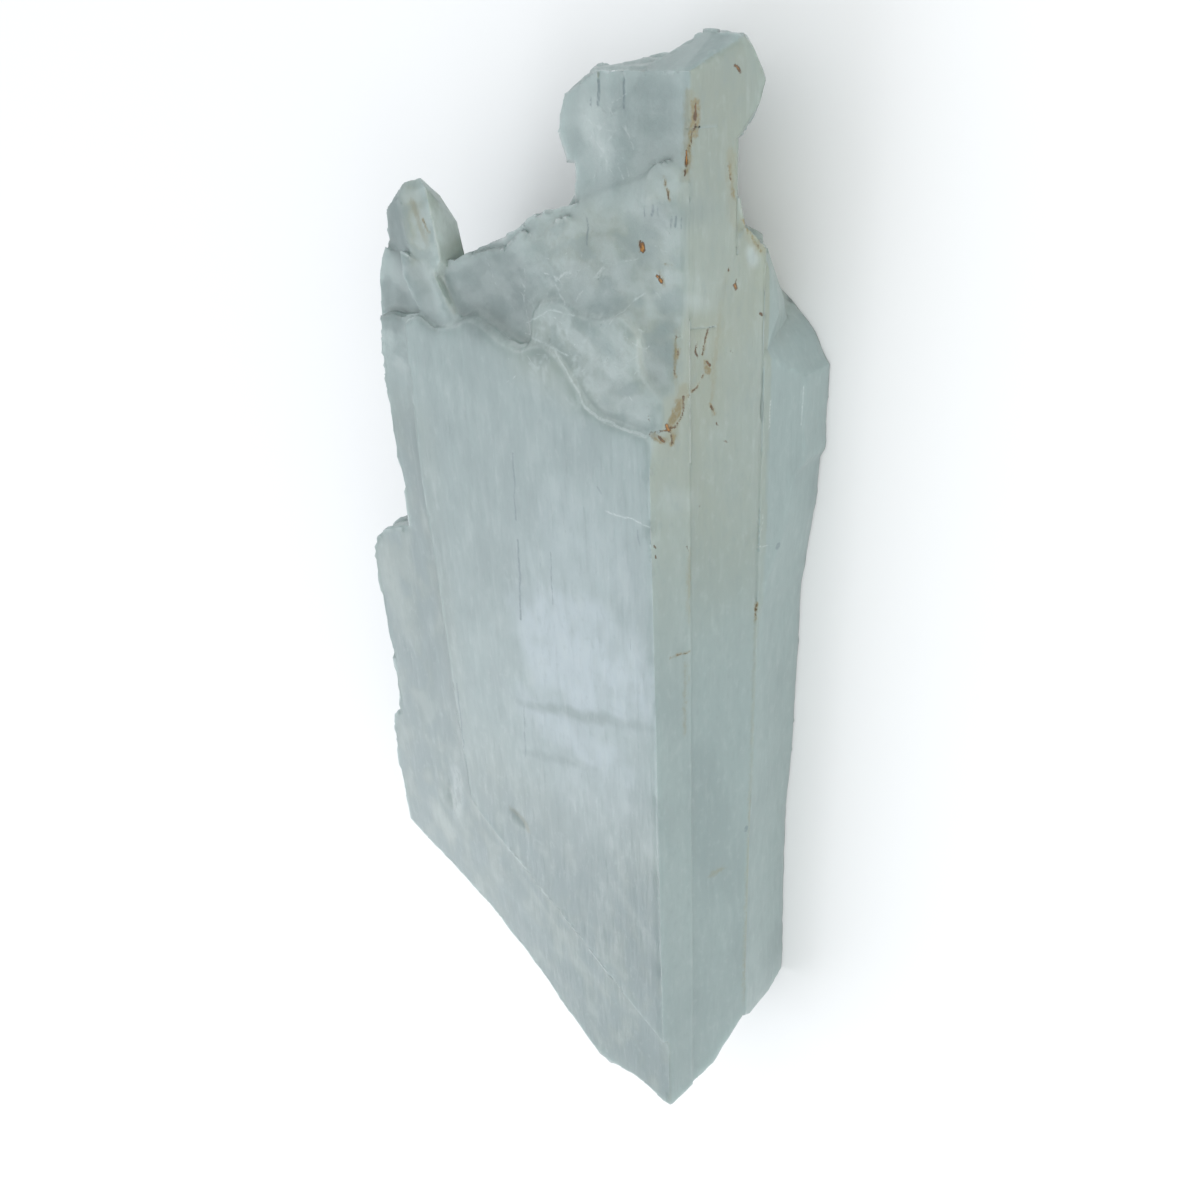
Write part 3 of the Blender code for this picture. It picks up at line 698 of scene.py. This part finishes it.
# %% Veils
veil_zone = np.max([
    patch((-22.0, 86.0), (17.0, 13.0), -30, 0.5, 3.0),
    0.9 * patch((-17.0, 130.0), (6.0, 8.0), 0, 0.5, 2.0),
    0.7 * patch((-24.0, 104.0), (22.0, 9.0), -12, 0.5, 3.0),
    0.5 * patch((-45.0, 94.0), (14.0, 10.0), 10, 0.5, 3.0),
], axis=0)
pushed = place + 2.4 * np.stack([bent_y, bent_x, bent_x], axis=1)
torn = 1.0 - np.abs(cloud(pushed, (4.6, 9, 5), 4, 23.0))
veils = veil_zone * ramp(torn, 0.84, 0.98) * (z > HIGH)
print("veiled points", int((veils > 0.3).sum()))

# %% Haze over the broken top, and the lips of its ledges, which get painted light
haze = front * ramp(y, 68.0, 73.0) * ramp(z, 43.8, 43.2) * (1.0 - 0.5 * tower) * (z > HIGH)
lips = ramp(y, 61.0, 68.0) * ramp(facing[:, 2], 0.97, 0.84) * (z > 36.5) * (facing[:, 2] > 0.2)
lips *= ramp(facing[:, 0] + facing[:, 1], 0.0, 0.2) * (x > -90.0)
lips *= ramp(x, 2.0, -1.0) * ramp(y, 114.0, 110.0)
print("hazy points", int((haze > 0.5).sum()), "points on lips", int((lips > 0.5).sum()))

# %% Thin rims, painted paler as if light came through them
THIN_REACH = 4.0

rim_spots = place[(np.abs(facing[:, 2]) < 0.5) & (z > 12.0) & (facing[:, 0] < 0.4)]
rim_tree = KDTree(len(rim_spots))
for number, spot in enumerate(rim_spots):
    rim_tree.insert((spot[0], spot[1], 0.0), number)
rim_tree.balance()
to_rim = np.array([rim_tree.find((px, py, 0.0))[2] for px, py, pz in place])
thin = np.exp(-to_rim / THIN_REACH) * (0.4 + 0.6 * ramp(y, 92.0, 112.0) * (x > -60.0))
thin *= (1.0 - prism_side) * (z > 10.0) * (x < 4.0)
thin *= 1.0 - 0.8 * patch((-70.0, 106.0), (13.0, 16.0))
print("thin points", int((thin > 0.5).sum()))

# %% Warm tints
lower_end = front * ramp(y, -24.0, -80.0)
left_margin = front * ramp(x, -66.0, -84.0) * ramp(y, 70.0, 50.0)
warm = np.max([
    prism_side * (0.8 * ramp(y, -10.0, 80.0) + 0.2 * ramp(y, 80.0, 100.0)) * (z > HALFWAY),
    patch((-69.5, 106.0), (5.0, 12.0), 10, 0.5, 1.0),
    0.9 * patch((1.0, 119.0), (6.0, 6.0), 0, 0.5, 1.5),
    0.65 * lower_end,
    0.65 * left_margin,
    0.8 * patch((0.0, 101.0), (11.0, 22.0), 0, 0.7, 3.0),
    0.7 * patch((-18.0, 108.0), (16.0, 8.0), 8, 0.7, 3.0),
    0.4 * patch((-26.0, 84.0), (20.0, 9.0), -20, 0.7, 3.0),
], axis=0)
print("warm", round(float(warm.mean()), 3))

# %% Dark bands and marks, and painted shade
dark_marks_and_painted_shade = np.max([
    0.9 * patch((-26.0, -15.4), (26.0, 1.8), 13, 0.4, 0.7) * front,
    0.9 * patch((-36.0, -35.0), (14.0, 1.5), 13, 0.4, 0.6) * front,
    0.6 * patch((-29.0, -32.6), (10.0, 0.7), 8, 0.6, 0.5) * front,
    # Painted shadow along the first growth step.
    0.9 * patch((-51.5, -84.6), (27.0, 2.2), -38, 0.8, 1.2) * front,
    # Painted shade on the lower tip.
    0.4 * patch((-6.0, -118.0), (14.0, 30.0), 0, 0.7, 3.0),
    0.2 * patch((-38.0, 50.0), (50.0, 5.0), 60, 0.9, 6.0),
    0.6 * patch((-52.3, -66.0), (4.2, 2.0), -38, 0.6, 0.6),
    # Painted shade: darker towards the lower end, along the left margin, at the top of the prism
    # side and on the nub's left-hand facet.
    lower_end,
    left_margin,
    0.4 * prism_side * ramp(y, 108.0, 122.0),
    0.7 * patch((-79.0, 107.0), (5.5, 12.0), 0, 0.5, 1.0),
], axis=0) * (1.0 - np.clip(1.6 * pale, 0.0, 1.0))
print("dark_marks_and_painted_shade", round(float(dark_marks_and_painted_shade.mean()), 3))

# %% Pale spots and painted light, and painted shade
pale_spots_and_painted_light = np.max([
    # Painted light on the lips of the ledges.
    0.32 * lips,
    0.40 * patch((-83.2, -71.0), (3.4, 13.0), -8, 0.4, 1.2),
    # Painted light on the nub's right-hand facet.
    0.45 * patch((-63.6, 108.0), (1.8, 9.0), -8, 0.5, 0.5) * ramp(facing[:, 0], 0.3, 0.6),
    0.28 * patch((-18.0, 130.5), (4.2, 5.5), 0, 0.8, 3.0),
], axis=0)
pit_and_painted_shade = np.max([
    # Painted shade on the nub's left-hand facet.
    0.50 * patch((-79.0, 107.5), (5.0, 10.0), 10, 0.5, 1.0) * (z > HIGH),
    # Painted shadow along the first growth step.
    0.20 * patch((-51.9, -84.8), (28.0, 2.0), -37, 0.6, 0.8) * front,
    # The stained pit, darker and rougher.
    0.28 * patch((-53.4, -66.0), (4.2, 2.6), -38, 0.4, 1.2) * front,
    # Painted shade: darker towards the lower end, along the left margin, on the left middle of the
    # broad face and on the bright strip.
    0.10 * front * ramp(y, -40.0, -90.0),
    0.08 * front * ramp(x, -64.0, -84.0) * ramp(y, 70.0, 50.0),
    0.07 * front * patch((-60.0, 24.0), (14.0, 26.0), -10, 0.8, 5.0),
    0.32 * bright_strip * (z > HIGHEST),
], axis=0)
print("pale_spots_and_painted_light", round(float(pale_spots_and_painted_light.mean()), 3), "pit_and_painted_shade", round(float(pit_and_painted_shade.mean()), 3))

# %% [markdown]
# ## Slow clouds in the milk
#
# The milk is uneven at every size. The slow part of it is worked out here, once for each point,
# and only the fine grain is left to the material, because noise in a material is worked out again
# for every ray of light and makes the render slow.

# %% Slow clouds
CLOUD_SPREAD = 0.11


def graded(values):
    """The same cloud about one half, with the spread that the finish counts on."""
    return 0.5 + CLOUD_SPREAD * (values - values.mean()) / values.std()


mottle = graded(cloud(place, (16, 30, 16), 3, 43.0))
puffs = graded(cloud(place, (5.0, 9.0, 5.0), 2, 47.0))
puffs = 0.5 + (puffs - 0.5) * (1.0 - 0.65 * prism_side)
wisps = graded(cloud(place, (7.0, 4.5, 7.0), 4, 53.0))
print("clouds over", len(place), "points")

# %% [markdown]
# ## Put the relief and the zones on the piece
#
# The points move only now, after all zones have been read from their resting places, so that the
# stains and the relief stay in register.

# %% Make the crystal
CREASE = math.radians(26)

moved = place + facing * relief[:, None]
moved[:, 2] = np.maximum(moved[:, 2], 0.0)
for corner, spot in zip(shape.verts, moved):
    corner.co = (Vector(spot) + ORIGIN) * MM
mesh = bpy.data.meshes.new("crystal")
shape.to_mesh(mesh)
shape.free()
crystal = bpy.data.objects.new("crystal", mesh)
bpy.context.scene.collection.objects.link(crystal)
mesh.shade_smooth()
mesh.set_sharp_from_angle(angle=CREASE)
print("crystal", len(mesh.polygons), "faces,",
      sum(len(face.vertices) - 2 for face in mesh.polygons), "triangles")

# %% Write the zones on its points
zones = {
    "clear": clear, "painted_sheen": painted_sheen, "pale": pale, "veils": veils, "warm": warm, "dark_marks_and_painted_shade": dark_marks_and_painted_shade,
    "rust_gap": distance_to(rust), "ochre_gap": distance_to(ochre), "film_gap": distance_to(films),
    "hair_gap": distance_to(hairs), "crack_gap": distance_to(cracks),
    "haze": haze, "thin": thin, "pale_spots_and_painted_light": pale_spots_and_painted_light, "pit_and_painted_shade": pit_and_painted_shade,
    "rough_break": rough_break, "mottle": mottle, "puffs": puffs, "wisps": wisps,
}
for name, values in zones.items():
    layer = mesh.attributes.new(name, "FLOAT", "POINT")
    layer.data.foreach_set("value", values.astype(np.float32))
print("zones", len(zones), "on", len(mesh.vertices), "points")

# %% [markdown]
# ## The finish
#
# Selenite is gypsum: refractive index 1.52, soft and satin on cleavage faces. Milky parts scatter
# the light just below the skin, clear parts let it through, and what passes through a few
# centimetres comes out a little aqua. So one shader does three things: it scatters, it transmits by
# an amount that the windows raise, and its volume absorbs.

# %% The material, and how its nodes are fed
selenite = bpy.data.materials.new("selenite")
selenite.use_nodes = True
nodes = selenite.node_tree.nodes
links = selenite.node_tree.links
shader = nodes["Principled BSDF"]


def zone(name):
    """A zone painted on the crystal's points."""
    node = nodes.new("ShaderNodeAttribute")
    node.attribute_name = name
    return node.outputs["Fac"]


def feed(socket, value):
    """Set a socket to a number or a colour, or link it to what another node gives."""
    if isinstance(value, tuple):
        socket.default_value = value + (1.0,)
    elif isinstance(value, (int, float)):
        socket.default_value = value
    else:
        links.new(value, socket)


def in_use(sockets, name):
    """The socket of that name that is in use; a mix node has one for each kind of data."""
    return next(socket for socket in sockets if socket.name == name and socket.enabled)


print("material", selenite.name)

# %% Arithmetic and mixing
def math_node(kind, first, second, third=None, clamp=False):
    """One step of arithmetic."""
    node = nodes.new("ShaderNodeMath")
    node.operation = kind
    node.use_clamp = clamp
    for socket, value in zip(node.inputs, (first, second, third)):
        if value is not None:
            feed(socket, value)
    return node.outputs[0]


def times(first, second):
    """The product of two values."""
    return math_node("MULTIPLY", first, second)


def tint(base, colour, amount):
    """Lay a colour over a base by an amount."""
    node = nodes.new("ShaderNodeMix")
    node.data_type = "RGBA"
    feed(in_use(node.inputs, "Factor"), amount)
    feed(in_use(node.inputs, "A"), base)
    feed(in_use(node.inputs, "B"), colour)
    return in_use(node.outputs, "Result")


print("nodes so far", len(nodes))

# %% Grain and ranges
coordinates = nodes.new("ShaderNodeTexCoord")
place_on_crystal = coordinates.outputs["Object"]


def grain(size, detail, roughness, seed=(0.0, 0.0, 0.0)):
    """Noise on the crystal; size is the grain along x, y and z, in mm."""
    stretch = nodes.new("ShaderNodeMapping")
    stretch.inputs["Location"].default_value = seed
    stretch.inputs["Scale"].default_value = [1.0 / (MM * side) for side in size]
    links.new(place_on_crystal, stretch.inputs["Vector"])
    node = nodes.new("ShaderNodeTexNoise")
    node.inputs["Scale"].default_value = 1.0
    node.inputs["Detail"].default_value = detail
    node.inputs["Roughness"].default_value = roughness
    links.new(stretch.outputs["Vector"], node.inputs["Vector"])
    return node.outputs["Fac"]


def between(value, low, high, to_low, to_high):
    """Map a value smoothly from one range to another."""
    node = nodes.new("ShaderNodeMapRange")
    node.interpolation_type = "SMOOTHSTEP"
    ends_of_ranges = {"From Min": low, "From Max": high, "To Min": to_low, "To Max": to_high}
    for name, number in ends_of_ranges.items():
        node.inputs[name].default_value = number
    links.new(value, node.inputs["Value"])
    return node.outputs["Result"]


print("grain is measured on the crystal itself")

# %% Milk and colour
MILK = (0.328, 0.405, 0.395)
DEEP = (0.280, 0.350, 0.342)
PAINTED_SHEEN_COLOUR = (0.46, 0.535, 0.565)
PALE = (0.47, 0.54, 0.525)
WARM = (0.328, 0.364, 0.290)
DIM = (0.260, 0.325, 0.322)
BRIGHT = (0.68, 0.74, 0.72)
DARK = (0.150, 0.190, 0.185)

mottle, puffs, wisps = zone("mottle"), zone("puffs"), zone("wisps")
silt = grain((1.6, 3.4, 1.6), 2.0, 0.6, (0.0, 2.0, 0.0))
fibres = grain((1.5, 11, 1.5), 2.0, 0.6)
calm = math_node("MULTIPLY_ADD", zone("clear"), -0.7, 1.0)
colour = tint(MILK, DIM, between(mottle, 0.45, 0.75, 0.0, 0.45))
colour = tint(colour, WARM, times(zone("warm"), between(mottle, 0.25, 0.6, 0.55, 1.0)))
# Painted sheen: the middle of the broad face is painted paler and lavender.
colour = tint(colour, PAINTED_SHEEN_COLOUR, times(zone("painted_sheen"), between(puffs, 0.35, 0.65, 1.0, 0.7)))
# Dark bands and marks, and painted shade.
colour = tint(colour, DIM, times(zone("dark_marks_and_painted_shade"), between(puffs, 0.3, 0.6, 0.6, 1.0)))
# Pale flakes and knobs, with painted highlights on the growth-step crests and the nub's right-hand
# facet.
colour = tint(colour, PALE, zone("pale"))
colour = tint(colour, DEEP, times(zone("clear"), between(puffs, 0.35, 0.6, 0.75, 1.0)))
print("milk", MILK, "deep", DEEP)

# %% Fine grain, veils and haze
colour = tint(colour, DIM, times(calm, between(fibres, 0.52, 0.78, 0.0, 0.22)))
colour = tint(colour, PALE, times(calm, between(fibres, 0.48, 0.25, 0.0, 0.17)))
colour = tint(colour, DIM, between(silt, 0.52, 0.75, 0.0, 0.25))
colour = tint(colour, PALE, between(silt, 0.46, 0.25, 0.0, 0.22))
colour = tint(colour, DIM, between(puffs, 0.52, 0.75, 0.0, 0.27))
colour = tint(colour, PALE, between(puffs, 0.46, 0.25, 0.0, 0.22))
colour = tint(colour, PALE, times(zone("veils"), between(silt, 0.35, 0.65, 0.35, 0.9)))
# Painted light: broken walls and ledges are painted paler against the shade that falls on them.
colour = tint(colour, PALE, times(zone("rough_break"), 0.4))
colour = tint(colour, PALE, times(zone("haze"), between(wisps, 0.56, 0.38, 0.0, 0.5)))
colour = tint(colour, DEEP, times(zone("haze"), between(wisps, 0.52, 0.66, 0.0, 0.5)))
# Painted light on the ledge lips and the nub's right-hand facet, with pale spots on a flake and on
# the tower.
colour = tint(colour, BRIGHT, times(zone("pale_spots_and_painted_light"), between(silt, 0.35, 0.6, 0.45, 1.0)))
# Painted shade, and the stained pit, in a dark colour.
colour = tint(colour, DARK, zone("pit_and_painted_shade"))
# Painted light: thin rims are painted paler, as if light came through them.
colour = tint(colour, PALE, times(zone("thin"), 0.45))
print("pale", PALE, "bright", BRIGHT)

# %% Stains
RUST = (0.070, 0.034, 0.008)
AMBER = (0.400, 0.175, 0.022)
OCHRE = (0.230, 0.165, 0.050)
FILM = (0.290, 0.280, 0.185)
HAIR = (0.190, 0.245, 0.262)
CRACK = (0.60, 0.66, 0.65)

ragged = grain((0.9, 1.7, 0.9), 3.0, 0.75)
broken_up = grain((0.55, 0.9, 0.55), 1.0, 0.6, (0.0, 9.0, 0.0))


def ragged_gap(name, amount):
    """The distance to a stroke's edge, made ragged by noise."""
    return math_node("MULTIPLY_ADD", math_node("SUBTRACT", ragged, 0.5), amount, zone(name))


rust_gap = ragged_gap("rust_gap", 0.7)
film = between(ragged_gap("film_gap", 2.6), 0.7, -0.6, 0.0, 0.55)
ochre_skin = between(ragged_gap("ochre_gap", 1.6), 0.4, -0.3, 0.0, 0.75)
rust_core = between(zone("rust_gap"), -0.04, -0.28, 0.0, 1.0)
hair = between(zone("hair_gap"), 0.3, 0.0, 0.0, 0.75)
crack = between(zone("crack_gap"), 0.24, 0.0, 0.0, 0.65)
colour = tint(colour, FILM, times(film, between(mottle, 0.35, 0.6, 0.45, 1.0)))
colour = tint(colour, OCHRE, times(ochre_skin, between(broken_up, 0.3, 0.6, 0.5, 1.0)))
rust_colour = tint(RUST, AMBER, times(rust_core, between(broken_up, 0.6, 0.4, 0.4, 1.0)))
colour = tint(colour, rust_colour, between(rust_gap, 0.16, -0.10, 0.0, 1.0))
colour = tint(colour, HAIR, times(hair, between(broken_up, 0.3, 0.5, 0.45, 1.0)))
colour = tint(colour, CRACK, times(crack, between(broken_up, 0.3, 0.55, 0.4, 1.0)))
print("stains laid over the milk")

# %% The shader's own values
INDEX = 1.52
SCATTERED = 0.55
SCATTER_DEPTH = 0.005
SCATTER_RADIUS = (1.0, 1.2, 1.15)
MILK_LETS_THROUGH = 0.26
WINDOWS_ADD = 0.18

shader.inputs["IOR"].default_value = INDEX
shader.inputs["Subsurface Weight"].default_value = SCATTERED
shader.inputs["Subsurface Radius"].default_value = SCATTER_RADIUS
shader.inputs["Subsurface Scale"].default_value = SCATTER_DEPTH
stained = between(rust_gap, 0.4, -0.2, 1.0, 0.1)
see_through = math_node("MULTIPLY_ADD", zone("clear"), WINDOWS_ADD, MILK_LETS_THROUGH, clamp=True)
links.new(times(see_through, stained), shader.inputs["Transmission Weight"])
links.new(colour, shader.inputs["Base Color"])
satin = math_node("MULTIPLY_ADD", fibres, 0.18, 0.27)
satin = math_node("MULTIPLY_ADD", zone("pit_and_painted_shade"), 0.5, satin)
links.new(math_node("MULTIPLY_ADD", zone("clear"), 0.06, satin), shader.inputs["Roughness"])
print("index", INDEX, "lets through", MILK_LETS_THROUGH, "to", MILK_LETS_THROUGH + WINDOWS_ADD)

# %% Absorption
AQUA = (0.70, 0.90, 0.86, 1.0)
ABSORPTION = 22.0

absorption = nodes.new("ShaderNodeVolumeAbsorption")
absorption.inputs["Color"].default_value = AQUA
absorption.inputs["Density"].default_value = ABSORPTION
links.new(absorption.outputs["Volume"], nodes["Material Output"].inputs["Volume"])
print("absorption", ABSORPTION, "per metre")

# %% Fine relief too small for points
BUMP_STRENGTH = 0.5
BUMP_HEIGHT = 0.00035

bump = nodes.new("ShaderNodeBump")
bump.inputs["Strength"].default_value = BUMP_STRENGTH
bump.inputs["Distance"].default_value = BUMP_HEIGHT
crumble = grain((1.1, 1.8, 0.7), 2.0, 0.7, (4.0, 0.0, 0.0))
silk = times(fibres, math_node("MULTIPLY_ADD", zone("haze"), -0.8, 1.0))
height = math_node("MULTIPLY_ADD", times(crumble, zone("rough_break")), 1.6, silk)
links.new(height, bump.inputs["Height"])
links.new(bump.outputs["Normal"], shader.inputs["Normal"])
mesh.materials.clear()
mesh.materials.append(selenite)
print("finish has", len(nodes), "nodes")

# %% [markdown]
# ## Floor and light
#
# Even light from all round shows milky depth best. One large soft window stands on the far left,
# where the broad face mirrors it towards the camera and turns pearly. A faint fill lifts the prism
# side, and a small lamp keeps the far corner of the floor as white as the rest.

# %% Floor
FLOOR = 3.0
FLOOR_GAP = 0.0002
PAPER_WHITE = (0.86, 0.86, 0.85, 1.0)
PAPER_ROUGHNESS = 0.9

corners = [(-FLOOR, -FLOOR, 0), (FLOOR, -FLOOR, 0), (FLOOR, FLOOR, 0), (-FLOOR, FLOOR, 0)]
floor_data = bpy.data.meshes.new("floor")
floor_data.from_pydata(corners, [], [(0, 1, 2, 3)])
floor = bpy.data.objects.new("floor", floor_data)
floor.location.z = -FLOOR_GAP
bpy.context.scene.collection.objects.link(floor)
paper = bpy.data.materials.new("paper")
paper.use_nodes = True
paper_shader = paper.node_tree.nodes["Principled BSDF"]
paper_shader.inputs["Base Color"].default_value = PAPER_WHITE
paper_shader.inputs["Roughness"].default_value = PAPER_ROUGHNESS
floor_data.materials.append(paper)
print("floor", FLOOR * 2, "m wide")

# %% Light from all round
SKY_COLOUR = (0.94, 0.97, 1.0, 1.0)
SKY_STRENGTH = 0.95

sky = bpy.data.worlds.new("sky")
sky.use_nodes = True
sky.node_tree.nodes["Background"].inputs["Color"].default_value = SKY_COLOUR
sky.node_tree.nodes["Background"].inputs["Strength"].default_value = SKY_STRENGTH
bpy.context.scene.world = sky
print("sky", SKY_STRENGTH)

# %% Soft lamps
LAMPS = [
    # (name, place, aim, size, power, colour)
    ("window", (-1.20, -1.12, 1.34), (0.0, 0.0, 0.03), 1.4, 16.0, (0.90, 0.93, 1.0)),
    ("side_fill", (0.75, 0.10, 0.30), (0.0, 0.0, 0.02), 0.8, 3.0, (1.0, 1.0, 0.98)),
    ("far_floor", (-1.70, -1.90, 0.80), (-1.70, -1.91, 0.0), 1.0, 4.5, (1.0, 1.0, 1.0)),
]


def soft_light(name, place, aim, size, power, colour):
    """A square area light that looks at a point."""
    lamp = bpy.data.lights.new(name, "AREA")
    lamp.shape = "SQUARE"
    lamp.size = size
    lamp.energy = power
    lamp.color = colour
    holder = bpy.data.objects.new(name, lamp)
    holder.location = Vector(place)
    holder.rotation_euler = (Vector(aim) - Vector(place)).to_track_quat("-Z", "Y").to_euler()
    bpy.context.scene.collection.objects.link(holder)


for row in LAMPS:
    soft_light(*row)
bpy.context.scene.view_settings.view_transform = "Standard"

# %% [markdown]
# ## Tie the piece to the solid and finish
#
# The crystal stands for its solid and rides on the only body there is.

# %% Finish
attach(crystal, "root")
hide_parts("selenite_slab")
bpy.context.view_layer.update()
print("made in", round(time.time() - started), "s")
